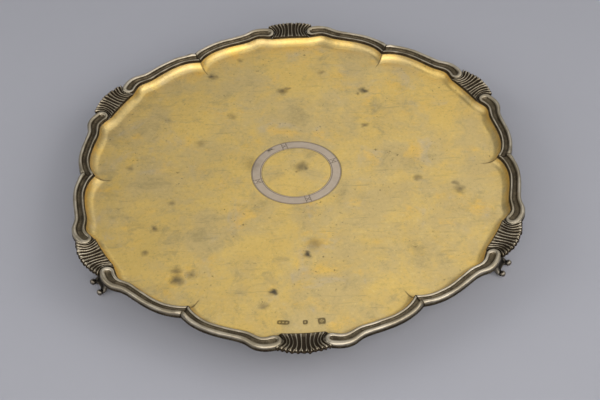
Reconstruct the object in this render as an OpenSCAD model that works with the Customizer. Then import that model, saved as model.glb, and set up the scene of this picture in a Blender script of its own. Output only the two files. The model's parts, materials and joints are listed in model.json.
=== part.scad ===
// Six-lobed silver-gilt salver on three scroll feet, with a cast rim of scroll mouldings and shells.
// Millimetres, +Z up. The origin is on the table, under the middle of the tray.
// The shells stand at the even hours of a clock seen from above, with 12 o'clock on +Y, and the
// inward cusps stand at the odd hours. Each half side runs from a shell's axis, at 0 degrees, to
// the cusp beside it, at 30 degrees. Left and right are as seen from the middle, looking outwards.

/* [Tray] */
// Radius of the seat's inner edge, midway along a side
seat_r = 129.8; // [120:0.2:140]
// Height of the rim's inner ridge above the table
ridge_z = 27.5; // [25:0.5:32]
// Thickness of the tray's sheet
sheet_t = 1.1; // [0.8:0.1:1.5]
// Depth of the seat that carries the rim, below the inner ridge
seat_depth = 1.8; // [1.6:0.1:2.2]
// Depth of the tray's flat below the inner ridge
flat_depth = 6.2; // [5:0.1:8]
// Width in plan of the curved wall between the flat and the seat
wall_run = 5; // [4:0.1:7]
// Slope of that wall where it meets the seat, in degrees
wall_slope = 70; // [50:1:80]
// Width of the seat, midway along a side
seat_w = 4.7; // [4.2:0.1:4.8]
// Radius of the compass's prick mark under the middle
prick_r = 0.5; // [0.3:0.1:0.6]

/* [Outline] */
// How far the outline swells out beside each shell
shoulder_rise = 2.8; // [0:0.1:3.2]
// Where that shoulder stands, in degrees from the shell's axis
shoulder_a = 9.6; // [9:0.1:11]
// Half-width of the shoulder, in degrees
shoulder_w = 2.8; // [2:0.1:4]
// How far each cusp cuts into the outline
cusp_depth = 6.4; // [4:0.1:9]

/* [Mouldings] */
// Distance from the seat's inner edge to the middle of the channel
channel_in = 3.3; // [3.2:0.05:3.5]
// Distance from the middle of the channel to each ridge
ridge_gap = 2.25; // [2:0.05:2.5]
// Depth of the channel below the inner ridge
channel_depth = 1.3; // [0.8:0.1:1.4]
// How much higher the outer ridge stands than the inner one
outer_rise = 1.1; // [0:0.1:1.5]
// Distance from the middle of the channel to the outer side
channel_out = 3.5; // [3.3:0.05:3.8]
// How far the lip hangs below the seat, over the tray's edge
lip_drop = 1; // [0.6:0.1:1.2]
// Where the round end of a moulding is centred, in degrees from the shell's axis
scroll_a = 7.3; // [7.2:0.1:8]
// How much wider the moulding grows towards that end, as a share of its width
scroll_swell = 0.4; // [0.2:0.05:0.42]

/* [Shells] */
// Number of flutes in a shell
flutes = 11; // [7:2:13]
// Radius of a shell's outer edge, on its axis
shell_r = 143.4; // [142:0.1:145]
// How far the outer edge falls back at the shell's sides
shell_fall = 2.6; // [2:0.1:3]
// How far the shell's outer edge stands above the rim's inner ridge
shell_lift = 2; // [0:0.1:2.4]
// Depth of the hollow that the shell makes between its inner and its outer edge
shell_dip = 0.5; // [0:0.1:0.8]
// Depth of the flutes
flute_depth = 0.8; // [0.4:0.1:1]
// How far each flute's end stands out beyond the ribs beside it
scallop = 0.5; // [0:0.1:0.8]

/* [Feet] */
// Radius at which the toes meet the table
toe_r = 138.2; // [137:0.2:139]
// Distance of each toe from the foot's own axis
toe_x = 4.8; // [4:0.1:5.2]
// Width of one toe
toe_w = 3.6; // [3:0.1:4]
// Radius of the scroll at the end of a toe
curl_r = 1.9; // [1.5:0.1:2.2]
// Thickness of the leg at its top
leg_t = 3; // [2.4:0.1:3.2]

/* [Hidden] */
CUSP_A = 30;
CUSP_START_A = 15;
SWELL_A = 5.5;
SWELL_W = 6.5;
TILT_SPAN_A = 4;
SLOPE_STEP_A = 0.1;
JOINT_GAP = 0.15;

// Stations round the tray, along a moulding, and round a moulding's end
TRAY_STEP_A = 2;
MOULDING_STEPS = 18;
END_STEPS = 7;
WALL_STEPS = 4;
SHELL_ROWS = 5;
LEG_STEPS = 12;

seat_z = ridge_z - seat_depth;
flat_z = ridge_z - flat_depth;
under_seat_z = seat_z - sheet_t;

SHELL_HOURS = [12, 2, 4, 6, 8, 10];
FOOT_HOURS = [12, 4, 8];

// ---------- the lobed outline ----------

function bell(a, centre, width) = exp(-pow((a - centre) / width, 2));

function lerp(from, to, share) = from + (to - from) * share;

// Degrees from the nearest shell's axis, for any direction round the tray
function from_shell(a) = abs((a % 60 + 90) % 60 - 30);

// Radius of the seat's inner edge
function outline_r(a) =
    seat_r
    + shoulder_rise * bell(a, shoulder_a, shoulder_w)
    - cusp_depth * pow(max(0, (a - CUSP_START_A) / (CUSP_A - CUSP_START_A)), 4);

// Angle between the outline and a circle round the tray's middle
function outline_slope(a) =
    atan((outline_r(a + SLOPE_STEP_A) - outline_r(a - SLOPE_STEP_A))
        / (2 * SLOPE_STEP_A * PI / 180 * outline_r(a)));

// How much wider the rim is than midway along a side
function swell(a) = 1 + scroll_swell * bell(a, SWELL_A, SWELL_W);

// Radius of a line that runs a given distance outside the seat's inner edge
function rim_line_r(a, out) = outline_r(a) + out * swell(a) / cos(outline_slope(a));

// Radius of a line that runs a given distance inside the seat's inner edge
function wall_line_r(a, in) = outline_r(a) - in / cos(outline_slope(a));

// ---------- polyhedra from rows of points ----------

// Two triangles for each cell between two rows of equal length
function strip(row_a, row_b) = [
    for (i = [0 : len(row_a) - 2])
        each [[row_a[i], row_b[i], row_b[i + 1]], [row_a[i], row_b[i + 1], row_a[i + 1]]]
];

function closed(row) = concat(row, [row[0]]);

function row_of(start, count) = [for (i = [0 : count - 1]) start + i];

function reversed(list) = [for (i = [len(list) - 1 : -1 : 0]) list[i]];

// ---------- tray ----------

// The sheet's section, from the flat's edge up over the seat and back below it to the flat's edge:
// [distance outside the seat's inner edge, distance inside it, height]
function wall_angle(i) = wall_slope * i / WALL_STEPS;
function wall_in(i) = wall_run * (1 - sin(wall_angle(i)) / sin(wall_slope));
function wall_z(i) =
    lerp(flat_z, seat_z, (1 - cos(wall_angle(i))) / (1 - cos(wall_slope)));

TRAY_SECTION = concat(
    [for (i = [0 : WALL_STEPS]) [0, wall_in(i), wall_z(i)]],
    [[seat_w, 0, seat_z], [seat_w, 0, under_seat_z]],
    [for (i = [WALL_STEPS : -1 : 0]) [0, wall_in(i) - sheet_t * sin(wall_angle(i)), wall_z(i) - sheet_t]]
);

function tray_point(a, p) =
    let (near = from_shell(a), r = p[0] > 0 ? rim_line_r(near, p[0]) : wall_line_r(near, p[1]))
    [r * sin(a), r * cos(a), p[2]];

module sheet() {
    around = 360 / TRAY_STEP_A;
    count = len(TRAY_SECTION);
    top_middle = around * count;
    under_middle = top_middle + 1;
    polyhedron(
        points = concat(
            [for (k = [0 : around - 1]) for (p = TRAY_SECTION) tray_point(k * TRAY_STEP_A, p)],
            [[0, 0, flat_z], [0, 0, flat_z - sheet_t]]
        ),
        faces = [for (k = [0 : around - 1])
            let (here = k * count, next = (k + 1) % around * count)
            each concat(
                strip(row_of(here, count), row_of(next, count)),
                [[top_middle, here, next], [under_middle, next + count - 1, here + count - 1]]
            )]
    );
}

// The maker's compass leaves a prick mark in the middle of the underside
module tray() {
    color([0.74, 0.64, 0.39])
        difference() {
            sheet();
            translate([0, 0, flat_z - sheet_t - 0.01])
                cylinder(r1 = prick_r, r2 = 0, h = prick_r, $fn = 32);
        }
}

// ---------- mouldings ----------

// Half sections, from the middle of the channel down to the seat: [distance from the middle, height
// above the seat]
INNER_HALF = [
    [ridge_gap * 0.45, seat_depth - channel_depth * 0.85],
    [ridge_gap * 0.76, seat_depth - channel_depth * 0.35],
    [ridge_gap, seat_depth],
    [lerp(ridge_gap, channel_in, 0.65), seat_depth * 0.78],
    [channel_in, 0]
];
OUTER_H = seat_depth + outer_rise;
OUTER_DEPTH = channel_depth + outer_rise;
OUTER_HALF = [
    [ridge_gap * 0.45, OUTER_H - OUTER_DEPTH * 0.85],
    [ridge_gap * 0.76, OUTER_H - OUTER_DEPTH * 0.35],
    [ridge_gap, OUTER_H],
    [lerp(ridge_gap, channel_out, 0.7), OUTER_H * 0.78],
    [channel_out, 0]
];
CHANNEL_FLOOR = seat_depth - channel_depth;

// The lip that hangs outside the tray's edge
LIP_IN = seat_w - channel_in + JOINT_GAP;
LIP = [[channel_out - 0.4, -lip_drop], [LIP_IN, -lip_drop], [LIP_IN, 0]];

MOULDING_SECTION = concat(
    [for (p = reversed(INNER_HALF)) [-p[0], p[1]]],
    [[0, CHANNEL_FLOOR]],
    OUTER_HALF,
    LIP
);

// Near its round end a section stands square to the moulding, and at the cusp it lies in the mitre
function section_tilt(a) = outline_slope(a) * max(0, 1 - (a - scroll_a) / TILT_SPAN_A);

// A point at a distance outside the seat's inner edge, and at a height above the seat
function moulding_point(a, out, z) =
    let (
        tilt = section_tilt(a),
        reach = out * swell(a) / cos(outline_slope(a) - tilt),
        r = outline_r(a)
    )
    [r * sin(a) + reach * sin(a - tilt), r * cos(a) + reach * cos(a - tilt), seat_z + z];

// A point of the round end, turned from the inner side (0) to the outer side (180)
function end_point(i, turn) =
    let (
        share = (1 - cos(turn)) / 2,
        reach = lerp(INNER_HALF[i][0], OUTER_HALF[i][0], share) * swell(scroll_a),
        z = lerp(INNER_HALF[i][1], OUTER_HALF[i][1], share),
        middle = moulding_point(scroll_a, channel_in, 0),
        way = scroll_a - section_tilt(scroll_a) - 180 + turn
    )
    middle + [reach * sin(way), reach * cos(way), z];

// The moulding on the right of the shell at 12 o'clock
module moulding_run() {
    count = len(MOULDING_SECTION);
    half = len(INNER_HALF);
    run_points = [
        for (k = [0 : MOULDING_STEPS])
            for (p = MOULDING_SECTION)
                moulding_point(lerp(scroll_a, CUSP_A, k / MOULDING_STEPS), channel_in + p[0], p[1])
    ];
    end_points = [
        for (k = [1 : END_STEPS - 1])
            for (i = [0 : half - 1])
                end_point(i, 180 * k / END_STEPS)
    ];
    floor_i = half;
    lip_i = [for (i = [2 * half : count - 1]) i];
    // Rows of the round end, each from the channel's middle down to the seat
    end_rows = concat(
        [[for (i = [half : -1 : 0]) i]],
        [for (k = [0 : END_STEPS - 2])
            concat([floor_i], row_of(len(run_points) + k * half, half))],
        [[for (i = [half : 2 * half]) i]]
    );
    foot_row = [for (row = end_rows) row[half]];
    polyhedron(
        points = concat(run_points, end_points),
        faces = concat(
            [for (k = [0 : MOULDING_STEPS - 1])
                each strip(closed(row_of(k * count, count)), closed(row_of((k + 1) * count, count)))],
            [for (k = [0 : END_STEPS - 1])
                each [for (t = strip(end_rows[k], end_rows[k + 1])) if (t[0] != t[1]) t]],
            [concat(foot_row, [count - 1])],
            [lip_i],
            [reversed(row_of(MOULDING_STEPS * count, count))]
        )
    );
}

module moulding(hour, side) {
    color([0.62, 0.60, 0.55])
        rotate([0, 0, -30 * hour])
            mirror([side == "left" ? 1 : 0, 0, 0])
                moulding_run();
}

// ---------- shells ----------

// Half-widths of the shell, from its inner to its outer edge, as a Bezier curve's four values
SHELL_SIDE = [13, 10.5, 8.3, 15];
SHELL_IN_R = seat_r + 0.1;
// Height of the shell's edges above the seat
SHELL_IN_Z = seat_depth - 0.3;
SHELL_OUT_Z = seat_depth + shell_lift;

function bezier(b, t) =
    b[0] * pow(1 - t, 3) + 3 * b[1] * t * pow(1 - t, 2) + 3 * b[2] * t * t * (1 - t) + b[3] * pow(t, 3);

// The flutes narrow towards the shell's sides: share runs from -1 to 1 across it
function fan(share) = share * (1.25 - 0.25 * abs(share));

// How far into a flute a column lies: 0 on a rib and 1 on the flute's middle line
function shell_point(column, t) =
    let (
        share = fan(column / flutes - 1),
        hollow = column % 2,
        x = share * bezier(SHELL_SIDE, t),
        out_r = shell_r - shell_fall * share * share + scallop * hollow,
        in_y = sqrt(SHELL_IN_R * SHELL_IN_R - x * x),
        out_y = sqrt(out_r * out_r - pow(share * SHELL_SIDE[3], 2)),
        top = lerp(SHELL_IN_Z, SHELL_OUT_Z, t) - shell_dip * sin(180 * t),
        dip = flute_depth * hollow * (0.4 + 0.6 * t)
    )
    [x, lerp(in_y, out_y, t), seat_z + top - dip];

module shell(hour) {
    columns = 2 * flutes + 1;
    top = [for (j = [0 : SHELL_ROWS]) for (i = [0 : columns - 1]) shell_point(i, j / SHELL_ROWS)];
    rim = concat(
        [for (i = [0 : columns - 1]) i],
        [for (j = [1 : SHELL_ROWS]) j * columns + columns - 1],
        [for (i = [columns - 2 : -1 : 0]) SHELL_ROWS * columns + i],
        [for (j = [SHELL_ROWS - 1 : -1 : 1]) j * columns]
    );
    base = [for (i = rim) [top[i][0], top[i][1], seat_z]];
    color([0.62, 0.60, 0.55])
        rotate([0, 0, -30 * hour])
            polyhedron(
                points = concat(top, base),
                faces = concat(
                    [for (j = [0 : SHELL_ROWS - 1])
                        each strip(row_of(j * columns, columns), row_of((j + 1) * columns, columns))],
                    strip(closed(row_of(len(top), len(base))), closed(rim)),
                    [row_of(len(top), len(base))]
                )
            );
}

// ---------- feet ----------

// The leg's middle line seen from the side, as a Bezier curve's radii and heights
LEG_Y = [seat_r + 3.8, seat_r + 1.6, seat_r + 2.6, toe_r];
LEG_Z = [under_seat_z, 15, 0.7, 0.85];
SOLE_T = 2.2;
CURL_Y = toe_r + 0.4;
CURL_Z = curl_r + 0.15;

// Half of the leg's outline seen from the front: [distance from its axis, share of its height]
LEG_FRONT = [[6.6, 1], [5.9, 0.86], [5.1, 0.68], [4.7, 0.5], [4.8, 0.34], [5.3, 0.18]];
TOE_TOP_Z = 2;
// The notch between the toes: half its width at the top, and its height
NOTCH_HALF_W = 0.5;
NOTCH_H = 3.4;

function leg_point(t, side) =
    let (
        step = 0.01,
        p = [bezier(LEG_Y, t), bezier(LEG_Z, t)],
        q = [bezier(LEG_Y, t + step), bezier(LEG_Z, t + step)],
        along = (q - p) / norm(q - p),
        half = lerp(leg_t, SOLE_T, t) / 2
    )
    p + side * half * [-along[1], along[0]];

module leg_side() {
    polygon(concat(
        [[LEG_Y[0] - leg_t / 2, under_seat_z], [LEG_Y[0] + leg_t / 2, under_seat_z]],
        [for (k = [1 : LEG_STEPS]) leg_point(k / LEG_STEPS, 1)],
        [for (k = [LEG_STEPS : -1 : 1]) leg_point(k / LEG_STEPS, -1)]
    ));
}

module leg_front() {
    outer = [for (p = LEG_FRONT) [p[0], p[1] * under_seat_z]];
    toe_out = toe_x + toe_w / 2;
    toe_in = toe_x - toe_w / 2;
    toe = [[toe_out, TOE_TOP_Z], [toe_out, -1], [toe_in, -1], [toe_in, TOE_TOP_Z]];
    half = concat(outer, toe, [[NOTCH_HALF_W, NOTCH_H]]);
    polygon(concat(half, [for (p = reversed(half)) [-p[0], p[1]]]));
}

module foot(hour) {
    color([0.36, 0.34, 0.31])
        rotate([0, 0, -30 * hour])
            difference() {
                union() {
                    intersection() {
                        rotate([90, 0, 90])
                            linear_extrude(height = 20, center = true)
                                leg_side();
                        translate([0, seat_r + 20, 0])
                            rotate([90, 0, 0])
                                linear_extrude(height = 40)
                                    leg_front();
                    }
                    for (side = [-1, 1])
                        translate([side * toe_x, CURL_Y, CURL_Z])
                            rotate([0, 90, 0])
                                cylinder(r = curl_r, h = toe_w, center = true, $fn = 32);
                }
                translate([-toe_r, 0, -10])
                    cube([2 * toe_r, 2 * toe_r, 10]);
            }
}

// ---------- nodes ----------

tray();
for (hour = SHELL_HOURS) {
    for (side = ["left", "right"])
        moulding(hour, side);
    shell(hour);
}
for (hour = FOOT_HOURS)
    foot(hour);
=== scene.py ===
"""A six-lobed silver-gilt salver on three scroll feet, built round its CAD frame.

Lengths in this script are millimetres, and become metres when a mesh is made. Directions round the
tray are degrees clockwise from +Y, seen from above. Within a half side they run from 0, on a shell's
axis, to 30, at the cusp beside it.
"""

import json
import math

import bmesh
import bpy
import numpy as np
from mathutils import Matrix, Vector


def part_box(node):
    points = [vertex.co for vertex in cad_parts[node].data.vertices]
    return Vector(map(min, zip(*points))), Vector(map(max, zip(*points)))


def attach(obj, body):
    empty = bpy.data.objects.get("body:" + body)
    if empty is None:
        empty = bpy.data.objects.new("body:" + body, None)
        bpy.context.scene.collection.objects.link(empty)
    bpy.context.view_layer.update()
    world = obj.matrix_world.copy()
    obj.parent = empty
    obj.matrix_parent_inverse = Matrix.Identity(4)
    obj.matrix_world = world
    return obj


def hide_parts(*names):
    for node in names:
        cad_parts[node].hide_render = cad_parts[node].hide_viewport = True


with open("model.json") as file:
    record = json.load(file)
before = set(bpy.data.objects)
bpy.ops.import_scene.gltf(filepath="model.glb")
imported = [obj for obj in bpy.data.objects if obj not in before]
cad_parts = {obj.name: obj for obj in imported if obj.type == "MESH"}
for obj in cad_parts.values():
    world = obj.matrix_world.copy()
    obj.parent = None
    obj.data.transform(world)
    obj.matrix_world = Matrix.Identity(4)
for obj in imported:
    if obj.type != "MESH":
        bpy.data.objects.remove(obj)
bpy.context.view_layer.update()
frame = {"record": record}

MM = 0.001
SHELL_HOURS = (12, 2, 4, 6, 8, 10)
FOOT_HOURS = (12, 4, 8)
SIDES = ("left", "right")

# ---------- heights, from the frame ----------

MOUNTS = {m["name"]: m["pos_m"] for m in frame["record"]["mounts"]}
FLAT_Z = MOUNTS["tray_top"][2] / MM
UNDER_FLAT_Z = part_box("tray")[0].z / MM
SHEET_T = FLAT_Z - UNDER_FLAT_Z
SEAT_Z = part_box("tray")[1].z / MM
UNDER_SEAT_Z = SEAT_Z - SHEET_T
OUTER_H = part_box("moulding_12_right")[1].z / MM - SEAT_Z
SHELL_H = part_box("shell_12")[1].z / MM - SEAT_Z
OUTER_RISE = 1.1
INNER_H = OUTER_H - OUTER_RISE
LIP_DROP = SEAT_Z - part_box("moulding_12_right")[0].z / MM
TOE_X = MOUNTS["sole_12_right"][0] / MM

# ---------- the lobed outline, as in the CAD ----------

CUSP_A = 30
LOBE_A = 2 * CUSP_A
SEAT_R = 129.8
SHOULDER_RISE, SHOULDER_A, SHOULDER_W = 2.8, 9.6, 2.8
CUSP_DEPTH, CUSP_START_A = 6.4, 15
SCROLL_SWELL, SWELL_A, SWELL_W = 0.4, 5.5, 6.5
WALL_RUN, WALL_SLOPE = 5, 70
SEAT_W = 4.7


def bell(a, centre, width):
    return np.exp(-(((a - centre) / width) ** 2))


def lerp(start, end, share):
    return start + (end - start) * share


def smooth(value, low, high):
    """0 up to low, 1 from high on, and a smooth step between them."""
    share = np.clip((value - low) / (high - low), 0, 1)
    return share * share * (3 - 2 * share)


def from_shell(a):
    """Degrees from the nearest shell's axis."""
    return np.abs((a + CUSP_A) % LOBE_A - CUSP_A)


def outline_r(a):
    """Radius of the seat's inner edge."""
    cut = np.maximum(0, (a - CUSP_START_A) / (CUSP_A - CUSP_START_A)) ** 4
    return SEAT_R + SHOULDER_RISE * bell(a, SHOULDER_A, SHOULDER_W) - CUSP_DEPTH * cut


def outline_slope(a):
    """Angle in radians between the outline and a circle round the tray's middle."""
    step = 0.1
    rise = outline_r(a + step) - outline_r(a - step)
    return np.arctan(rise / (2 * math.radians(step) * outline_r(a)))


def swell(a):
    """How much wider the rim is than midway along a side."""
    return 1 + SCROLL_SWELL * bell(a, SWELL_A, SWELL_W)


def rim_line_r(a, out):
    return outline_r(a) + out * swell(a) / np.cos(outline_slope(a))


def wall_line_r(a, inside):
    return outline_r(a) - inside / np.cos(outline_slope(a))


# ---------- meshes ----------


def grid_faces(rows, columns, first=0, closed=False):
    """Quads between rows of points that are numbered one row after the other."""
    faces = []
    for j in range(rows - 1):
        here = first + j * columns
        for i in range(columns if closed else columns - 1):
            following = (i + 1) % columns
            faces.append((here + i, here + following, here + columns + following, here + columns + i))
    return faces


def turned(points, hour):
    """Points turned from 12 o'clock to another hour."""
    a = math.radians(30 * hour)
    turn = np.array([[math.cos(a), -math.sin(a), 0], [math.sin(a), math.cos(a), 0], [0, 0, 1]])
    return points @ turn


def make_mesh(name, points, faces):
    mesh = bpy.data.meshes.new(name)
    mesh.from_pydata((np.asarray(points) * MM).tolist(), [], faces)
    work = bmesh.new()
    work.from_mesh(mesh)
    bmesh.ops.recalc_face_normals(work, faces=work.faces)
    work.to_mesh(mesh)
    work.free()
    mesh.polygons.foreach_set("use_smooth", [True] * len(mesh.polygons))
    return mesh


def set_values(mesh, name, values):
    """Gives each vertex a number that the materials read."""
    attribute = mesh.attributes.new(name, "FLOAT", "POINT")
    attribute.data.foreach_set("value", np.asarray(values, np.float32))


def add_piece(node, mesh, slot, *materials):
    """Puts a mesh in the scene in place of a CAD node."""
    piece = bpy.data.objects.new(node + "_piece", mesh)
    bpy.context.scene.collection.objects.link(piece)
    for material in materials:
        mesh.materials.append(material)
    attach(piece, "root")
    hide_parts(node)


def mesh_points(mesh):
    points = np.empty(len(mesh.vertices) * 3)
    mesh.vertices.foreach_get("co", points)
    return points.reshape(-1, 3) / MM


def mesh_edges(mesh):
    edges = np.empty(len(mesh.edges) * 2, int)
    mesh.edges.foreach_get("vertices", edges)
    return edges.reshape(-1, 2)


def spread(values, edges, rounds):
    """Averages each vertex's value with its neighbours', several times over."""
    count = np.maximum(1, np.bincount(edges.ravel(), minlength=len(values)))
    for _ in range(rounds):
        total = np.zeros_like(values)
        np.add.at(total, edges[:, 0], values[edges[:, 1]])
        np.add.at(total, edges[:, 1], values[edges[:, 0]])
        values = (values + (total.T / count).T) / 2
    return values


def cavity(mesh, rounds, depth):
    """From 0 on a crest to 1 in a dip, by how far each vertex lies under its smoothed self."""
    points = mesh_points(mesh)
    normals = np.empty(len(points) * 3)
    mesh.vertices.foreach_get("normal", normals)
    gap = spread(points, mesh_edges(mesh), rounds) - points
    return np.clip(0.5 + (gap * normals.reshape(-1, 3)).sum(axis=1) / (2 * depth), 0, 1)


# ---------- materials ----------


def colour(red, green, blue):
    """A display colour, 0 to 255, as Blender's linear values."""
    linear = [
        c / 12.92 if c <= 0.04045 else ((c + 0.055) / 1.055) ** 2.4
        for c in (red / 255, green / 255, blue / 255)
    ]
    return (*linear, 1)


class Finish:
    """A node material, built one call at a time."""

    def __init__(self, name, metallic):
        self.material = bpy.data.materials.new(name)
        self.material.use_nodes = True
        self.tree = self.material.node_tree
        self.shader = self.tree.nodes["Principled BSDF"]
        self.shader.inputs["Metallic"].default_value = metallic
        self.place = self.add("ShaderNodeTexCoord").outputs["Object"]

    def add(self, kind, inputs=(), **settings):
        node = self.tree.nodes.new(kind)
        for key, value in settings.items():
            setattr(node, key, value)
        for key, value in dict(inputs).items():
            if isinstance(value, bpy.types.NodeSocket):
                self.tree.links.new(value, node.inputs[key])
            else:
                node.inputs[key].default_value = value
        return node

    def noise(self, size, detail=4, roughness=0.5, distortion=0, place=None):
        """Noise whose blots are about size millimetres across."""
        inputs = {
            "Vector": place or self.place,
            "Scale": 1 / (size * MM),
            "Detail": detail,
            "Roughness": roughness,
            "Distortion": distortion,
        }
        return self.add("ShaderNodeTexNoise", inputs).outputs["Fac"]

    def noise_colour(self, size):
        """Noise as a colour, whose three channels differ."""
        inputs = {"Vector": self.place, "Scale": 1 / (size * MM)}
        return self.add("ShaderNodeTexNoise", inputs).outputs["Color"]

    def stretched(self, angle, along, across):
        """The place, turned and squeezed so that noise on it runs in streaks."""
        inputs = {
            "Vector": self.place,
            "Rotation": (0, 0, math.radians(angle)),
            "Scale": (1 / along, 1 / across, 1),
        }
        return self.add("ShaderNodeMapping", inputs).outputs["Vector"]

    def step(self, value, low, high, start=0, end=1):
        inputs = {"Value": value, "From Min": low, "From Max": high, "To Min": start, "To Max": end}
        return self.add("ShaderNodeMapRange", inputs, interpolation_type="SMOOTHSTEP").outputs["Result"]

    def combine(self, operation, a, b):
        return self.add("ShaderNodeMath", {0: a, 1: b}, operation=operation).outputs["Value"]

    def vector(self, operation, a, b):
        return self.add("ShaderNodeVectorMath", {0: a, 1: b}, operation=operation).outputs["Vector"]

    def distance(self, a, b):
        return self.add("ShaderNodeVectorMath", {0: a, 1: b}, operation="DISTANCE").outputs["Value"]

    def value(self, name):
        return self.add("ShaderNodeAttribute", attribute_name=name).outputs["Fac"]

    def mix(self, share, a, b):
        return self.add("ShaderNodeMix", {0: share, 6: a, 7: b}, data_type="RGBA").outputs[2]

    def bump(self, height, depth, strength=1, below=None):
        """Bumps as deep as depth, in millimetres, on top of other bumps."""
        inputs = {"Height": height, "Distance": depth * MM, "Strength": strength}
        if below is not None:
            inputs["Normal"] = below
        return self.add("ShaderNodeBump", inputs).outputs["Normal"]

    def done(self, base, roughness, normal):
        self.tree.links.new(base, self.shader.inputs["Base Color"])
        self.tree.links.new(roughness, self.shader.inputs["Roughness"])
        self.tree.links.new(normal, self.shader.inputs["Normal"])
        return self.material


# Dark spots on the tray: [x, y, radius, strength]
STAINS = (
    (-54, 97, 3.2, 0.7), (-35, 113, 2.4, 0.4), (-7, 78, 3.4, 0.6), (-4, 80, 2.2, 0.5),
    (47, 75, 3, 0.75), (43, 72, 1.6, 0.5), (45, 41, 2.6, 0.5), (74, -10, 3, 0.4),
    (98, -21, 3.6, 0.45), (96, -16, 2.4, 0.4), (-103, 10, 2.4, 0.4), (-85, -43, 2.4, 0.6),
    (-90, -62, 2.2, 0.5), (-70, -84, 4.2, 0.65), (-71, -77, 3.4, 0.5), (-62, -80, 3, 0.5),
    (-16, -96, 2.6, 0.8), (4, -69, 2.6, 0.8), (9, -61, 5, 0.35), (-21, -106, 2.6, 0.35),
    (3, 4, 4.5, 0.5), (6, 3, 2, 0.5), (-16, 20, 1.3, 1), (-14.5, 21, 1.1, 1), (-27, 8, 6, 0.25),
    (-76, -22, 2.2, 0.4), (-60, 30, 3.4, 0.3), (-40, 55, 3, 0.3), (20, 96, 2.6, 0.35),
)
BAND_R = (21.6, 27.8)


def gilt_finish():
    """Worn, matt gilding: blotchy yellow with grey-green clouds, grey rubbed places and dark spots."""
    gilt = Finish("worn_gilding", metallic=1)
    yellow, tan = colour(220, 189, 112), colour(204, 180, 124)
    base = gilt.mix(gilt.step(gilt.noise(34, 8, 0.68, 0.3), 0.38, 0.62), yellow, tan)
    clouds = gilt.step(gilt.noise(16, 8, 0.7, 0.5), 0.5, 0.70, 0, 0.7)
    base = gilt.mix(clouds, base, colour(174, 156, 110))
    rubbed = gilt.step(gilt.noise(24, 7, 0.68, 0.6), 0.54, 0.72, 0, 0.6)
    base = gilt.mix(rubbed, base, colour(194, 179, 152))
    warm = gilt.step(gilt.noise(22, 6, 0.6, 0.2), 0.54, 0.72, 0, 0.7)
    base = gilt.mix(warm, base, colour(232, 191, 96))
    grain = gilt.noise(1.7, 6, 0.72)
    base = gilt.mix(gilt.step(grain, 0.30, 0.48, 0.4, 0), base, colour(150, 138, 94))
    base = gilt.mix(gilt.step(grain, 0.54, 0.72, 0, 0.4), base, colour(236, 216, 150))
    streaks = gilt.noise(2.4, 5, 0.6, place=gilt.stretched(28, 9, 1))
    base = gilt.mix(gilt.step(streaks, 0.58, 0.76, 0, 0.4), base, colour(150, 136, 96))
    freckles = gilt.step(gilt.noise(2.6, 4, 0.6), 0.62, 0.72, 0, 0.75)
    patchy = gilt.step(gilt.noise(26, 3, 0.6), 0.44, 0.62)
    base = gilt.mix(gilt.combine("MULTIPLY", freckles, patchy), base, colour(118, 104, 70))

    # The ungilded band of the engraved ring
    flat_place = gilt.vector("MULTIPLY", gilt.place, (1, 1, 0))
    radius = gilt.combine("MULTIPLY", gilt.distance(flat_place, (0, 0, 0)), 1 / MM)
    inside = gilt.step(radius, BAND_R[0] - 0.1, BAND_R[0] + 0.2)
    outside = gilt.step(radius, BAND_R[1] - 0.2, BAND_R[1] + 0.1, 1, 0)
    band = gilt.combine("MULTIPLY", inside, outside)
    silver = gilt.mix(gilt.noise(3, 5, 0.6), colour(176, 160, 144), colour(196, 182, 168))
    base = gilt.mix(gilt.combine("MULTIPLY", band, 0.92), base, silver)

    # Dark spots, with ragged edges
    shift = gilt.vector("SUBTRACT", gilt.noise_colour(4), (0.5, 0.5, 0.5))
    shift = gilt.vector("MULTIPLY", shift, (5 * MM, 5 * MM, 0))
    ragged = gilt.vector("ADD", flat_place, shift)
    stain = 0.0
    for x, y, size, strength in STAINS:
        away = gilt.distance(ragged, (x * MM, y * MM, 0))
        spot = gilt.step(away, 0, size * 1.5 * MM, min(1, strength * 1.25), 0)
        stain = gilt.combine("MAXIMUM", stain, spot)
    base = gilt.mix(stain, base, colour(88, 82, 70))

    # Dark brown in the engraved and punched marks, and painted shade along the seam under the moulding
    # and in the cusps' creases
    grime_and_shade = gilt.value("grime_and_shade")
    base = gilt.mix(grime_and_shade, base, colour(62, 52, 36))

    rough = gilt.step(gilt.noise(14, 6, 0.6), 0.3, 0.7, 0.40, 0.52)
    dull = gilt.combine("MULTIPLY", gilt.combine("MAXIMUM", stain, grime_and_shade), 0.2)
    rough = gilt.combine("ADD", rough, dull)
    planished = gilt.bump(gilt.noise(7, 1, 0.4), 0.05)
    scratches = gilt.noise(1.2, 3, 0.6, place=gilt.stretched(-35, 14, 1))
    crossing = gilt.noise(1.2, 3, 0.6, place=gilt.stretched(62, 14, 1))
    scratched = gilt.bump(scratches, 0.012, below=planished)
    scratched = gilt.bump(crossing, 0.012, below=scratched)
    return gilt.done(base, rough, scratched)


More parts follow.
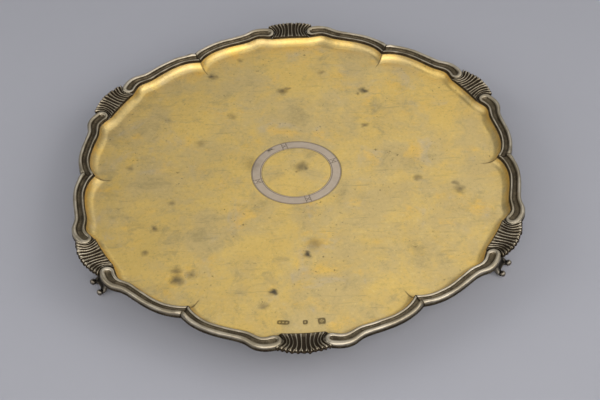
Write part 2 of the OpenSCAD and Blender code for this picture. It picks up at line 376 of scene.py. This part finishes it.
def underside_finish():
    """The bare silver below the tray, tarnished brown-grey, with hammer marks."""
    silver = Finish("underside_silver", metallic=1)
    brown, grey = colour(120, 110, 94), colour(166, 156, 138)
    base = silver.mix(silver.step(silver.noise(38, 6, 0.6, 0.15), 0.36, 0.66), brown, grey)
    spots = silver.step(silver.noise(9, 6, 0.66), 0.56, 0.74, 0, 0.6)
    base = silver.mix(spots, base, colour(84, 74, 60))
    # Painted shade, nearly black, where the seam's shade reaches the underside at the seat's edge
    base = silver.mix(silver.value("grime_and_shade"), base, colour(44, 37, 29))
    rough = silver.step(silver.noise(11, 5, 0.6), 0.3, 0.7, 0.36, 0.56)
    facets = silver.add(
        "ShaderNodeTexVoronoi", {"Vector": silver.place, "Scale": 1 / (6 * MM)}, feature="SMOOTH_F1"
    ).outputs["Distance"]
    hammered = silver.bump(facets, 0.2, strength=0.8)
    return silver.done(base, rough, silver.bump(silver.noise(0.7, 3, 0.6), 0.01, below=hammered))


def silver_finish(name, bright, middle, dark, wear):
    """Cast silver: rubbed bright on the crests, brown on the slopes, nearly black in the hollows; the
    same darkening carries the painted shade that each piece's values give.
    """
    silver = Finish(name, metallic=1)
    patchy = silver.combine("SUBTRACT", silver.noise(5, 6, 0.65), 0.5)
    fine = silver.combine("SUBTRACT", silver.noise(0.9, 4, 0.6), 0.5)
    # Tarnish in the hollows, and painted shade where a piece's values give it
    dirt_and_shade = silver.combine("ADD", silver.value("hollow"), silver.combine("MULTIPLY", patchy, wear))
    dirt_and_shade = silver.combine("ADD", dirt_and_shade, silver.combine("MULTIPLY", fine, wear * 0.6))
    worn = silver.mix(silver.step(silver.noise(16, 4, 0.6), 0.4, 0.62), bright[0], bright[1])
    base = silver.mix(silver.step(dirt_and_shade, 0.12, 0.5), worn, middle)
    base = silver.mix(silver.step(dirt_and_shade, 0.42, 0.86), base, dark)
    rough = silver.step(dirt_and_shade, 0.1, 0.9, 0.38, 0.62)
    pitted = silver.bump(silver.noise(1.4, 5, 0.65), 0.05)
    nicks = silver.noise(0.6, 2, 0.6, place=silver.stretched(40, 5, 1))
    return silver.done(base, rough, silver.bump(nicks, 0.02, below=pitted))


def floor_finish():
    paper = Finish("pale_paper", metallic=0)
    base = paper.mix(paper.noise(400, 3, 0.5), colour(186, 186, 194), colour(190, 190, 198))
    rough = paper.step(paper.noise(20, 3, 0.5), 0.3, 0.7, 0.85, 0.95)
    return paper.done(base, rough, paper.bump(paper.noise(0.8, 4, 0.6), 0.02))


GILT = gilt_finish()
UNDERSIDE = underside_finish()
RIM_SILVER = silver_finish(
    "rim_silver",
    bright=(colour(180, 170, 151), colour(152, 141, 120)),
    middle=colour(110, 99, 79),
    dark=colour(54, 46, 36),
    wear=0.75,
)
# A darker copy of the rim's silver for the feet: tarnish, and painted shade for feet standing under the
# rim
FOOT_SILVER = silver_finish(
    "foot_silver",
    bright=(colour(138, 130, 116), colour(112, 104, 92)),
    middle=colour(58, 53, 46),
    dark=colour(24, 23, 21),
    wear=0.4,
)

# ---------- tray ----------

RING_R = (21.4, 22.3, 27.3, 27.9)
RING_W = 0.24
BAND_MARKS_A = (70, -16, -106, -195)
PUNCH_R = 118
PUNCH_SPAN_A = (172.8, 188.2)
GROOVE_W = 0.28
GROOVE_DEPTH = 0.14
UNDER_PRICK_DEPTH = 0.4
CREASE_W = 0.5
CREASE_R = (112.5, 117)
# Within this radius the tray's rows of points are circles
CORE_R = 100


def near(a, centre):
    """Signed degrees from a direction."""
    return (a - centre + 180) % 360 - 180


def groove(distance, width=GROOVE_W):
    """How deep in a groove a point is, from 0 to 1, by its distance from the groove's middle."""
    return np.clip(1 - distance / width, 0, 1)


def stroke(u, v, start, end):
    """Depth of a straight engraved line, on a mark's own axes."""
    start, end = np.array(start, float), np.array(end, float)
    way = end - start
    share = np.clip(((u - start[0]) * way[0] + (v - start[1]) * way[1]) / (way @ way), 0, 1)
    return groove(np.hypot(u - start[0] - share * way[0], v - start[1] - share * way[1]))


def band_mark(u, v):
    """Two lines across the engraved band, tied by a cross: a plain divider."""
    cut = stroke(u, v, (-1.5, -2.9), (-1.5, 2.9))
    cut = np.maximum(cut, stroke(u, v, (1.5, -2.9), (1.5, 2.9)))
    cut = np.maximum(cut, stroke(u, v, (-1.5, -1.5), (1.5, 1.5)))
    return np.maximum(cut, stroke(u, v, (-1.5, 1.5), (1.5, -1.5)))


def punched(u, v, half_w, half_h, figure):
    """A sunk cartouche with a figure standing up in it."""
    corner = ((np.abs(u) / half_w) ** 4 + (np.abs(v) / half_h) ** 4) ** 0.25
    return smooth(corner, 1.08, 0.92) * (1 - 0.6 * figure)


def rosette(u, v):
    """Four petals round a knob."""
    r, turn = np.hypot(u, v), np.arctan2(v, u)
    petals = smooth(r, 1.25, 1.0) * smooth(np.abs(np.cos(2 * turn)), 0.25, 0.5) * smooth(r, 0.45, 0.6)
    return np.maximum(petals, smooth(r, 0.4, 0.25))


def lozenge(u, v):
    return smooth(np.abs(u) * 1.3 + np.abs(v), 0.95, 0.7)


def three_knobs(u, v):
    return np.max([smooth(np.hypot(u - x, v), 0.72, 0.45) for x in (-1.9, 0, 1.9)], axis=0)


# Punch marks near 6 o'clock: [direction, half width, half height, figure]
PUNCHES = ((175, 2.1, 2.1, rosette), (179.4, 1.3, 1.5, lozenge), (185.2, 3.4, 1.5, three_knobs))


def marks(a, r):
    """Depth, from 0 to 1, of everything engraved, punched or creased in the tray."""
    cut = np.max([groove(np.abs(r - ring), RING_W) for ring in RING_R], axis=0)
    middle = (BAND_R[0] + BAND_R[1]) / 2
    for centre in BAND_MARKS_A:
        u, v = np.radians(near(a, centre)) * r, r - middle
        cut = np.maximum(cut, band_mark(u, v))
    for centre in range(CUSP_A, 360, LOBE_A):
        across = np.radians(np.abs(near(a, centre))) * r
        cut = np.maximum(cut, groove(across, CREASE_W) * smooth(r, *CREASE_R))
    for centre, half_w, half_h, figure in PUNCHES:
        u, v = np.radians(near(a, centre)) * r, r - PUNCH_R
        cut = np.maximum(cut, punched(u, v, half_w, half_h, figure(u, v)) * 0.9)
    prick = smooth(r, 0.8, 0.1)
    return np.maximum(cut, prick)


def warp(x, y):
    """The hand-raised sheet's unevenness."""
    waves = ((0.055, 0.021, 0.3), (-0.034, 0.062, 1.9), (0.083, -0.057, 4.2), (0.021, -0.101, 2.6))
    return sum(0.07 * np.sin(kx * x + ky * y + phase) for kx, ky, phase in waves)


def tray_stations():
    """Directions of the tray's columns, closer together at the marks and cusps."""
    spans = [np.arange(0, 360, 1.0)]
    spans += [np.arange(c - 4.6, c + 4.6, 0.35) for c in BAND_MARKS_A]
    spans += [np.arange(*PUNCH_SPAN_A, 0.14)]
    beside = np.array([0.2, 0.4, 0.75, 1.5, 2.5])
    for cusp in range(CUSP_A, 360, LOBE_A):
        spans += [cusp - beside, cusp + beside]
    return np.unique(np.round(np.concatenate(spans) % 360, 2))


def wall_place(angle):
    """Where the wall's top face slopes at an angle: how far inside the seat's edge, and how high."""
    end = math.radians(WALL_SLOPE)
    inside = WALL_RUN * (1 - math.sin(angle) / math.sin(end))
    rise = (1 - math.cos(angle)) / (1 - math.cos(end))
    return inside, lerp(FLAT_Z, SEAT_Z, rise)


def tray_rows(a):
    """The sheet's section from the middle over the top and back below, as rows of [radius, height]."""
    half = from_shell(a)
    edge = wall_line_r(half, WALL_RUN)

    def level(z):
        return np.full_like(a, z)

    # The flat, closer together at the engraved ring and at the punch marks
    core = np.concatenate([
        [0.4, 0.8, 1.5],
        np.arange(3, 20.6, 2.2),
        np.arange(20.9, 28.6, 0.2),
        np.arange(30, CORE_R + 1, 3.5),
    ])
    rows = [(np.full_like(a, r), level(FLAT_Z)) for r in core]
    shares = np.concatenate([np.linspace(0.08, 1, 12), np.arange(0.55, 0.80, 0.01)])
    rows += [(lerp(CORE_R, edge, share), level(FLAT_Z)) for share in np.unique(np.round(shares, 3))]
    east, north = np.sin(np.radians(a)), np.cos(np.radians(a))
    rows = [(r, z + warp(r * east, r * north) * smooth(edge - r, 0, 25)) for r, z in rows]
    rows = [(r, z - GROOVE_DEPTH * marks(a, r)) for r, z in rows]

    # The wall's top face, the seat and the underside
    for angle in np.radians([*np.linspace(0, WALL_SLOPE, 13)[1:-1], WALL_SLOPE - 1.5, WALL_SLOPE]):
        inside, z = wall_place(angle)
        rows.append((wall_line_r(half, inside), level(z)))
    gilt_rows = len(rows)
    rows.append((rim_line_r(half, SEAT_W), level(SEAT_Z)))
    rows.append((rim_line_r(half, SEAT_W), level(UNDER_SEAT_Z)))
    for angle in np.radians(np.linspace(WALL_SLOPE, 0, 9)):
        inside, z = wall_place(angle)
        rows.append((wall_line_r(half, inside - SHEET_T * math.sin(angle)), level(z - SHEET_T)))
    for share in np.linspace(1, 0.02, 16)[1:]:
        rows.append((share * edge, level(UNDER_FLAT_Z)))
    rows.append((np.full_like(a, 0.6), level(UNDER_FLAT_Z)))
    return rows, gilt_rows


def make_tray():
    a = tray_stations()
    rows, gilt_rows = tray_rows(a)
    count = len(a)
    turn = np.radians(a)
    points = np.concatenate([np.stack([r * np.sin(turn), r * np.cos(turn), z], axis=1) for r, z in rows])
    top_middle, under_middle = len(points), len(points) + 1
    middles = [[0, 0, FLAT_Z - GROOVE_DEPTH], [0, 0, UNDER_FLAT_Z + UNDER_PRICK_DEPTH]]
    points = np.concatenate([points, middles])
    faces = grid_faces(len(rows), count, closed=True)
    gilt_faces = (gilt_rows - 1) * count
    last = (len(rows) - 1) * count
    faces += [(top_middle, i, (i + 1) % count) for i in range(count)]
    faces += [(under_middle, last + (i + 1) % count, last + i) for i in range(count)]
    mesh = make_mesh("tray", points, faces)

    grime_and_shade = np.zeros(len(points))
    cusp = smooth(from_shell(a), 29.6, 30)
    for j, (r, z) in enumerate(rows[:gilt_rows]):
        # Painted shade along the top of the wall where it meets the moulding, and in the cusps' creases;
        # the engraved and punched marks are darkened as well
        seam_shade = 0.7 * smooth(z, SEAT_Z - 0.3, SEAT_Z)
        crease_shade = 0.8 * cusp * smooth(r, 117, 120)
        grime_and_shade[j * count : (j + 1) * count] = np.max([marks(a, r) * 0.8, seam_shade, crease_shade], axis=0)
    set_values(mesh, "grime_and_shade", grime_and_shade)
    mesh.polygons.foreach_set(
        "material_index",
        [0 if i < gilt_faces or last <= i < last + count else 1 for i in range(len(faces))],
    )
    add_piece("tray", mesh, "gilt_sheet", GILT, UNDERSIDE)


# ---------- mouldings ----------

CHANNEL_IN, CHANNEL_OUT = 3.3, 3.5
CHANNEL_FLOOR = 0.5
# The ridges: how far from the channel's middle their crests are, and how round they are
BEAD_AT = 2.2
INNER_BEAD_R, OUTER_BEAD_R = 0.8, 1.15
SCROLL_A, TILT_SPAN_A = 7.3, 4
RUN_STEPS, END_STEPS = 72, 22


def half_section(base, bead_r, top):
    """From the channel's middle over a rounded ridge down to the seat: [distance, height]."""
    centre_z = top - bead_r
    bank = BEAD_AT - bead_r
    points = [
        (bank * math.sin(t), lerp(CHANNEL_FLOOR, centre_z, 1 - math.cos(t)))
        for t in np.radians(np.linspace(0, 80, 6))
    ]
    points += [
        (BEAD_AT + bead_r * math.cos(t), centre_z + bead_r * math.sin(t))
        for t in np.radians(np.linspace(172, -15, 12))
    ]
    points += [(lerp(BEAD_AT + bead_r, base, 0.6), centre_z * 0.35), (base, 0)]
    return np.array(points)


INNER = half_section(CHANNEL_IN - 0.12, INNER_BEAD_R, INNER_H)
OUTER = half_section(CHANNEL_OUT, OUTER_BEAD_R, OUTER_H)
LIP = np.array([
    (CHANNEL_OUT + 0.05, -LIP_DROP * 0.6), (CHANNEL_OUT - 0.25, -LIP_DROP),
    (SEAT_W - CHANNEL_IN + 0.35, -LIP_DROP), (SEAT_W - CHANNEL_IN + 0.1, -LIP_DROP * 0.6),
    (SEAT_W - CHANNEL_IN + 0.1, 0),
])


def section_tilt(a):
    """Near its round end a section stands square to the moulding, and at the cusp in the mitre."""
    return outline_slope(a) * np.maximum(0, 1 - (a - SCROLL_A) / TILT_SPAN_A)


def moulding_points(a, out, z):
    tilt = section_tilt(a)
    reach = out * swell(a) / np.cos(outline_slope(a) - tilt)
    turn, r = np.radians(a), outline_r(a)
    x = r * np.sin(turn) + reach * np.sin(turn - tilt)
    y = r * np.cos(turn) + reach * np.cos(turn - tilt)
    return np.stack([x, y, SEAT_Z + z], axis=-1)


def tarnish_and_shade(offset, z):
    """Brown tarnish in the channel, bright on the ridges, dark low on the sides: painted shade down the
    outer side under the outer ridge, and the inner face darkened where it meets the tray.
    """
    down = np.where(offset < 0, INNER_H, OUTER_H) - z
    channel = smooth(down, 0.15, 0.9) * (np.abs(offset) < BEAD_AT)
    inner_side = smooth(down, 0.02, 0.22) * (offset <= -BEAD_AT)
    # Painted shade down the outer side, under the outer ridge
    outer_side_shade = smooth(down, 0.9, 2.1) * (offset >= BEAD_AT)
    return np.max([channel * 0.62, inner_side * 0.78, outer_side_shade * 0.75], axis=0)


def make_moulding(hour, side, dice):
    section = np.concatenate([INNER[::-1] * (-1, 1), OUTER[1:], LIP])
    half, count = len(INNER), len(section)
    a = lerp(SCROLL_A, CUSP_A, np.linspace(0, 1, RUN_STEPS + 1) ** 0.9)
    a = np.append(a[:-1], [CUSP_A - 0.12, CUSP_A])
    offset, height = (np.tile(section[:, i], (len(a), 1)) for i in (0, 1))
    along = np.tile(a[:, None], (1, count))

    # Solder swells the outer ridge before the mitre, and the mitre itself is a fine sunk line
    on_outer = smooth(offset, 0.8, 1.6) * (height > 0.3)
    solder = dice.uniform(0.10, 0.22) + (0.2 if hour == 6 else 0)
    height = height + on_outer * solder * bell(along, CUSP_A - 1.1, 0.9) * height
    height = height - 0.22 * smooth(along, CUSP_A - 0.14, CUSP_A) * (height > 0.3)
    # The chaser's hand: ridges that wander a little
    wander = dice.uniform(0, 6.28, 4)
    height = height + 0.05 * np.sin(along * 1.3 + wander[0]) * (height > 1.1)
    offset = offset + 0.07 * np.sin(along * 0.9 + wander[1]) * (height > 0.45) * (np.abs(offset) < 3)
    run = moulding_points(along, CHANNEL_IN + offset, height)
    # Tarnish and painted shade from the section, and a dark line at the mitre
    dirt_and_shade = tarnish_and_shade(offset, height) + 0.8 * smooth(along, CUSP_A - 0.3, CUSP_A)

    points, dirt_and_shade_rows = [run.reshape(-1, 3)], [dirt_and_shade.ravel()]
    middle = moulding_points(np.array(SCROLL_A, float), CHANNEL_IN, 0.0)
    for k in range(1, END_STEPS):
        turn = 180 * k / END_STEPS
        share = (1 - math.cos(math.radians(turn))) / 2
        part = lerp(INNER, OUTER, share)[1:]
        reach = part[:, 0] * swell(SCROLL_A)
        way = math.radians(SCROLL_A - 180 + turn) - section_tilt(SCROLL_A)
        ring = np.stack([reach * math.sin(way), reach * math.cos(way), part[:, 1]], axis=1)
        points.append(middle + ring)
        dirt_and_shade_rows.append(tarnish_and_shade(-part[:, 0], part[:, 1]))
    floor_i = half - 1
    inner_row = [half - 1 - i for i in range(half)]
    outer_row = [half - 1 + i for i in range(half)]
    first = len(run) * count
    ends = [inner_row]
    for k in range(END_STEPS - 1):
        ends.append([floor_i, *range(first + k * (half - 1), first + (k + 1) * (half - 1))])
    ends.append(outer_row)
    faces = grid_faces(len(run), count, closed=True)
    for row, following in zip(ends, ends[1:]):
        faces.append((floor_i, row[1], following[1]))
        faces += [(row[i], row[i + 1], following[i + 1], following[i]) for i in range(1, half - 1)]
    faces.append([row[-1] for row in ends] + [count - 1])
    faces.append(list(range(2 * half - 2, count)))
    faces.append(list(range((len(run) - 1) * count, len(run) * count)))
    points = np.concatenate(points)
    if side == "left":
        points = points * (-1, 1, 1)
    node = f"moulding_{hour}_{side}"
    mesh = make_mesh(node, turned(points, hour), faces)
    set_values(mesh, "hollow", np.concatenate(dirt_and_shade_rows))
    add_piece(node, mesh, "cast_silver", RIM_SILVER)


# ---------- shells ----------

FLUTES = 11
SHELL_R = 143.4
SHELL_FALL = 2.6
SHELL_SIDE = (13, 10.5, 8.3, 15)
SHELL_IN_H = 1.5
SHELL_DIP = 0.5
FLUTE_DEPTH = 1.1
# Down a shell's side: [share of its height, how far out its outer edge stands]
SHELL_EDGE = ((0.14, 0.22), (0.4, 0.2), (0.7, -0.5), (1.0, -1.1))
COLUMNS, ROWS = 176, 48


def bezier(b, t):
    return b[0] * (1 - t) ** 3 + 3 * b[1] * t * (1 - t) ** 2 + 3 * b[2] * t * t * (1 - t) + b[3] * t**3


def make_shell(hour, dice):
    c, t = np.meshgrid(np.linspace(-1, 1, COLUMNS + 1), np.linspace(0, 1, ROWS + 1))
    wobble = 0.012 * np.sin(c * 9 + dice.uniform(0, 6.28))
    wobble = wobble + 0.008 * np.sin(c * 21 + dice.uniform(0, 6.28))
    share = c * (1.25 - 0.25 * np.abs(c)) + wobble * (1 - c * c)

    # Deep and shallower flutes alternate between thin ribs, no two of which are quite as wide.
    # Towards the outer edge each rib forks and ends in two beads.
    flute = (c + 1) * FLUTES / 2
    across = np.abs(2 * (flute - np.floor(flute)) - 1)
    number = np.minimum(np.floor(flute), FLUTES - 1).astype(int)
    shallow = np.where(number % 2 == 1, 0.55, 1.0) * dice.uniform(0.85, 1, FLUTES)[number]
    fork = 1 - 0.34 * smooth(t, 0.80, 0.97)
    rib_w = dice.uniform(0.2, 0.38, FLUTES)[number]
    rib = bell(across, fork, rib_w * lerp(1, 0.8, t))
    depth = (0.3 + 0.7 * smooth(t, 0.0, 0.35)) * shallow * smooth(t, -0.01, 0.06)
    bead_at = 0.945 + dice.uniform(-0.015, 0.015, FLUTES)[number]
    bead = bell(t, bead_at, 0.04) * bell(across, 0.66, 0.2) * dice.uniform(0.5, 1, FLUTES)[number]

    x = share * bezier(SHELL_SIDE, t)
    end_r = dice.uniform(-0.25, 0.35, FLUTES)[number]
    out_r = SHELL_R - SHELL_FALL * share**2 - 0.3 + (0.55 + end_r) * (1 - across**2)
    in_y = np.sqrt((SEAT_R + 0.1) ** 2 - x**2)
    out_y = np.sqrt(out_r**2 - (share * SHELL_SIDE[3]) ** 2)
    height = lerp(SHELL_IN_H, SHELL_H - 0.1, t) - SHELL_DIP * np.sin(np.pi * t)
    height = height - FLUTE_DEPTH * (1 - rib) * depth + 0.45 * bead
    height = height - 0.9 * smooth(np.abs(c), 0.86, 1) * smooth(t, 0.2, 0)
    height = np.minimum(height - 0.5 * smooth(t, 0.97, 1) - 0.25 * smooth(t, 0.03, 0), SHELL_H)
    points = np.stack([x, lerp(in_y, out_y, t), SEAT_Z + height], axis=-1).reshape(-1, 3)
    # Patina in the flutes; painted shade on the rolled outer edge and at the inner edge against the
    # tray; the rubbed beads lighter
    hollow = (1 - rib) * (0.45 + 0.55 * smooth(depth, 0.1, 0.5))
    hollow = hollow + 0.7 * smooth(t, 0.975, 1) + 0.9 * smooth(t, 0.05, 0)
    hollow = np.clip(hollow, 0, 1) - 0.6 * bead

    width = COLUMNS + 1
    rim = [*range(width), *(j * width + COLUMNS for j in range(1, ROWS + 1))]
    rim += [ROWS * width + i for i in range(COLUMNS - 1, -1, -1)]
    rim += [j * width for j in range(ROWS - 1, 0, -1)]
    outward = np.where(np.arange(len(points)) >= ROWS * width, 1.0, 0.0)[rim][:, None]
    edge = points[rim]
    radial = edge * (1, 1, 0) / np.hypot(edge[:, 0], edge[:, 1])[:, None]
    bands = []
    for share_down, out in SHELL_EDGE:
        band = edge + radial * out * outward
        band[:, 2] = lerp(edge[:, 2], SEAT_Z, share_down)
        bands.append(band)
    first = len(points)
    faces = grid_faces(ROWS + 1, width)
    previous = rim
    for k in range(len(bands)):
        row = list(range(first + k * len(rim), first + (k + 1) * len(rim)))
        for i in range(len(rim)):
            j = (i + 1) % len(rim)
            faces.append((previous[i], previous[j], row[j], row[i]))
        previous = row
    faces.append(previous)
    all_points = np.concatenate([points, *bands])
    # The shell's sides get painted shade
    dirt_and_shade = np.concatenate([hollow.ravel(), *([np.full(len(rim), 0.8)] * len(bands))])
    node = f"shell_{hour}"
    mesh = make_mesh(node, turned(all_points, hour), faces)
    set_values(mesh, "hollow", dirt_and_shade)
    add_piece(node, mesh, "cast_silver", RIM_SILVER)


# ---------- feet ----------

TOE_R = 138.2
CURL_R = 1.9
CURL_Y, CURL_Z = TOE_R + 0.4, CURL_R + 0.15
# The leg's middle line seen from the side, as a Bezier curve's radii and heights
LEG_Y = (SEAT_R + 3.8, SEAT_R + 1.6, SEAT_R + 2.6, TOE_R - 0.6)
LEG_Z = (UNDER_SEAT_Z, 15, 0.7, 1.3)
# Half the leg's width at shares of that line
LEG_HALF_W = ((0, 6.4), (0.12, 5.8), (0.3, 5.1), (0.5, 4.9), (0.7, 5.5), (0.85, 6.1), (0.97, 6.2))
# A toe's way from the leg to its curl: start, knee and landing
TOE_PATH = (
    (TOE_X - 0.7, LEG_Y[0], 5.4), (TOE_X - 0.1, LEG_Y[0] + 1.8, 2.2), (TOE_X - 0.1, CURL_Y - 1.0, 0.85)
)
KNOB_OUT, KNOB_SIZE = 1.25, (0.55, 0.9, 0.9)
COLLAR_Y, COLLAR_SIZE = SEAT_R + 3.6, (7.0, 2.6)
VOXEL = 0.32


def sweep(path, half_w, half_t, sides=20, power=3.2):
    """A closed bar along a path that bends only in the foot's own side view.

    path holds [x, y, z]; half_w runs along x and half_t across the path.
    """
    path = np.array(path, float)
    way = np.gradient(path[:, 1:], axis=0)
    way /= np.linalg.norm(way, axis=1)[:, None]
    turn = np.linspace(0, 2 * np.pi, sides, endpoint=False)
    cos, sin = np.cos(turn), np.sin(turn)
    wide = np.sign(cos) * np.abs(cos) ** (2 / power)
    thick = np.sign(sin) * np.abs(sin) ** (2 / power)
    rings = []
    for p, w, hw, ht in zip(path, way, half_w, half_t):
        across = np.array([-w[1], w[0]])
        rings.append(np.stack([
            p[0] + hw * wide, p[1] + ht * thick * across[0], p[2] + ht * thick * across[1]
        ], axis=1))
    faces = grid_faces(len(path), sides, closed=True)
    faces.append(list(range(sides)))
    faces.append(list(range((len(path) - 1) * sides, len(path) * sides)))
    return np.concatenate(rings), faces


def leg_bars():
    """The broad leg down to the notch between the toes, and its two halves beyond it."""
    stops, widths = zip(*LEG_HALF_W)
    t = np.linspace(0, 0.92, 36)
    y, z = bezier(LEG_Y, t), bezier(LEG_Z, t)
    path = np.stack([0 * t, y, z], axis=1)
    bars = [sweep(path, np.interp(t, stops, widths), lerp(1.45, 0.95, t), power=6)]
    t = np.linspace(0.86, 0.97, 8)
    y, z = bezier(LEG_Y, t), bezier(LEG_Z, t)
    outer = np.interp(t, stops, widths)
    inner = lerp(0.3, 2.9, (t - 0.86) / 0.11)
    for side in (-1, 1):
        path = np.stack([side * (outer + inner) / 2, y, z], axis=1)
        bars.append(sweep(path, (outer - inner) / 2, lerp(1.25, 0.95, t), power=4))
    return bars


def toe_bar(side):
    """From under the leg out along the table and round in a scroll."""
    start, knee, landing = np.array(TOE_PATH)
    shares = np.linspace(0, 1, 14)
    down = [(1 - s) ** 2 * start + 2 * s * (1 - s) * knee + s * s * landing for s in shares]
    turn = np.radians(np.linspace(-82, 250, 26))
    r = np.linspace(CURL_R - 0.6, 0.55, 26)
    curl = [
        np.array([TOE_X, CURL_Y + q * math.cos(s), CURL_Z + q * math.sin(s)]) for s, q in zip(turn, r)
    ]
    path = np.array(down + curl) * (side, 1, 1)
    half_w = np.concatenate([np.linspace(1.3, 1.2, 14), np.linspace(1.2, 1.3, 26)])
    half_t = np.concatenate([np.linspace(1.2, 0.8, 14), np.linspace(0.75, 0.5, 26)])
    return sweep(path, half_w, half_t)


def stacked_rings(x, y, rings, sides):
    """A closed solid of level rings round an upright line: [height, reach along x, reach along y]."""
    turn = np.linspace(0, 2 * np.pi, sides, endpoint=False)
    points = np.concatenate([
        np.stack([x + reach_x * np.cos(turn), y + reach_y * np.sin(turn), np.full(sides, z)], axis=1)
        for z, reach_x, reach_y in rings
    ])
    faces = grid_faces(len(rings), sides, closed=True)
    faces += [list(range(sides)), list(range((len(rings) - 1) * sides, len(rings) * sides))]
    return points, faces


def knob(x):
    """A rounded boss on the side of a toe's curl."""
    half_x, half_y, half_z = KNOB_SIZE
    rings = []
    for level in np.linspace(-0.98, 0.98, 9):
        reach = math.sqrt(1 - level**2)
        rings.append((CURL_Z + half_z * level, half_x * reach, half_y * reach))
    return stacked_rings(x, CURL_Y, rings, sides=16)


def collar():
    """The thin pad that is soldered under the rim."""
    half_x, half_y = COLLAR_SIZE
    rings = [
        (UNDER_SEAT_Z - below, half_x * reach, half_y * reach)
        for below, reach in ((1.1, 0.86), (0.5, 1), (0.12, 1))
    ]
    return stacked_rings(0, COLLAR_Y, rings, sides=32)


def make_foot(hour):
    bars = [*leg_bars(), collar()]
    for side in (-1, 1):
        bars.append(toe_bar(side))
        for x in (TOE_X - KNOB_OUT, TOE_X + KNOB_OUT):
            bars.append(knob(side * x))
    points, faces = [], []
    for bar_points, bar_faces in bars:
        first = sum(len(p) for p in points)
        points.append(bar_points)
        faces += [[first + i for i in face] for face in bar_faces]
    rough = make_mesh("foot_rough", np.concatenate(points), faces)
    worker = bpy.data.objects.new("foot_rough", rough)
    bpy.context.scene.collection.objects.link(worker)
    remesh = worker.modifiers.new("remesh", "REMESH")
    remesh.mode = "VOXEL"
    remesh.voxel_size = VOXEL * MM
    soften = worker.modifiers.new("soften", "SMOOTH")
    soften.factor = 0.5
    soften.iterations = 3
    bpy.context.view_layer.update()
    mesh = bpy.data.meshes.new_from_object(worker.evaluated_get(bpy.context.evaluated_depsgraph_get()))
    bpy.data.objects.remove(worker)
    points = mesh_points(mesh)
    points[:, 2] = np.clip(points[:, 2], 0, UNDER_SEAT_Z)
    mesh.vertices.foreach_set("co", (turned(points, hour) * MM).ravel())
    mesh.update()
    mesh.polygons.foreach_set("use_smooth", [True] * len(mesh.polygons))
    node = f"foot_{hour}"
    set_values(mesh, "hollow", cavity(mesh, 12, 0.12))
    add_piece(node, mesh, "tarnished_silver", FOOT_SILVER)


# ---------- setting ----------

CAMERA_LENS = 67.03
CAMERA_ELEVATION, CAMERA_ROLL = 45.31, -2.63
CAMERA_TARGET = (1.5, -30.8, 27.5)
CAMERA_DISTANCE = 663.9
WORLD_STRENGTH = 0.27

# The floor and the lights are in metres and watts
FLOOR_REACH = 3
WHITE, CREAM = (1, 0.99, 0.97), (1, 0.96, 0.94)
# [name, place, size, power, tint, whether only reflections show it]
LIGHTS = (
    ("left", (-1.3, -0.15, 0.9), (1.0, 0.9), 5, WHITE, False),
    ("right", (1.3, -0.35, 1.0), (1.0, 1.0), 7.5, WHITE, False),
    ("front", (0.15, -0.95, 0.7), (1.5, 0.8), 6, WHITE, False),
    ("front_glow", (0.1, -0.9, 0.7), (2.1, 1.1), 9.5, CREAM, True),
    ("overhead", (0, -0.3, 1.5), (1.6, 1.2), 3.2, WHITE, True),
    ("behind", (0.5, 0.85, 1.6), (2.0, 1.6), 9, WHITE, True),
    ("backdrop", (0.2, 1.9, 0.45), (3.0, 0.8), 2.5, WHITE, True),
)


def make_camera():
    camera = bpy.data.objects.new("camera", bpy.data.cameras.new("camera"))
    bpy.context.scene.collection.objects.link(camera)
    camera.data.lens = CAMERA_LENS
    camera.data.clip_start = 0.01
    elevation = math.radians(CAMERA_ELEVATION)
    back = Vector((0, -math.cos(elevation), math.sin(elevation)))
    look = Matrix.Rotation(math.radians(90 - CAMERA_ELEVATION), 4, "X")
    roll = Matrix.Rotation(math.radians(CAMERA_ROLL), 4, "Z")
    place = Vector(CAMERA_TARGET) * MM + back * CAMERA_DISTANCE * MM
    camera.matrix_world = Matrix.Translation(place) @ look @ roll
    bpy.context.scene.camera = camera


def make_light(name, place, size, power, tint, reflected_only):
    """A soft rectangular light turned towards the tray."""
    light = bpy.data.lights.new(name, "AREA")
    light.shape = "RECTANGLE"
    light.size, light.size_y = size
    light.energy = power
    light.color = tint
    lamp = bpy.data.objects.new(name, light)
    lamp.visible_diffuse = not reflected_only
    bpy.context.scene.collection.objects.link(lamp)
    lamp.location = place
    lamp.rotation_euler = (-Vector(place)).to_track_quat("-Z", "Y").to_euler()


def make_floor():
    mesh = bpy.data.meshes.new("floor")
    corners = [(-FLOOR_REACH, -FLOOR_REACH, 0), (FLOOR_REACH, -FLOOR_REACH, 0)]
    corners += [(FLOOR_REACH, FLOOR_REACH, 0), (-FLOOR_REACH, FLOOR_REACH, 0)]
    mesh.from_pydata(corners, [], [(0, 1, 2, 3)])
    mesh.materials.append(floor_finish())
    floor = bpy.data.objects.new("floor", mesh)
    bpy.context.scene.collection.objects.link(floor)


def make_world():
    world = bpy.data.worlds.new("room")
    bpy.context.scene.world = world
    world.use_nodes = True
    background = world.node_tree.nodes["Background"]
    background.inputs["Color"].default_value = (0.93, 0.96, 1, 1)
    background.inputs["Strength"].default_value = WORLD_STRENGTH


make_camera()
make_world()
for light in LIGHTS:
    make_light(*light)
make_floor()
bpy.context.scene.view_settings.view_transform = "Standard"

make_tray()
dice = np.random.default_rng(12)
for hour in SHELL_HOURS:
    for side in SIDES:
        make_moulding(hour, side, dice)
    make_shell(hour, dice)
for hour in FOOT_HOURS:
    make_foot(hour)
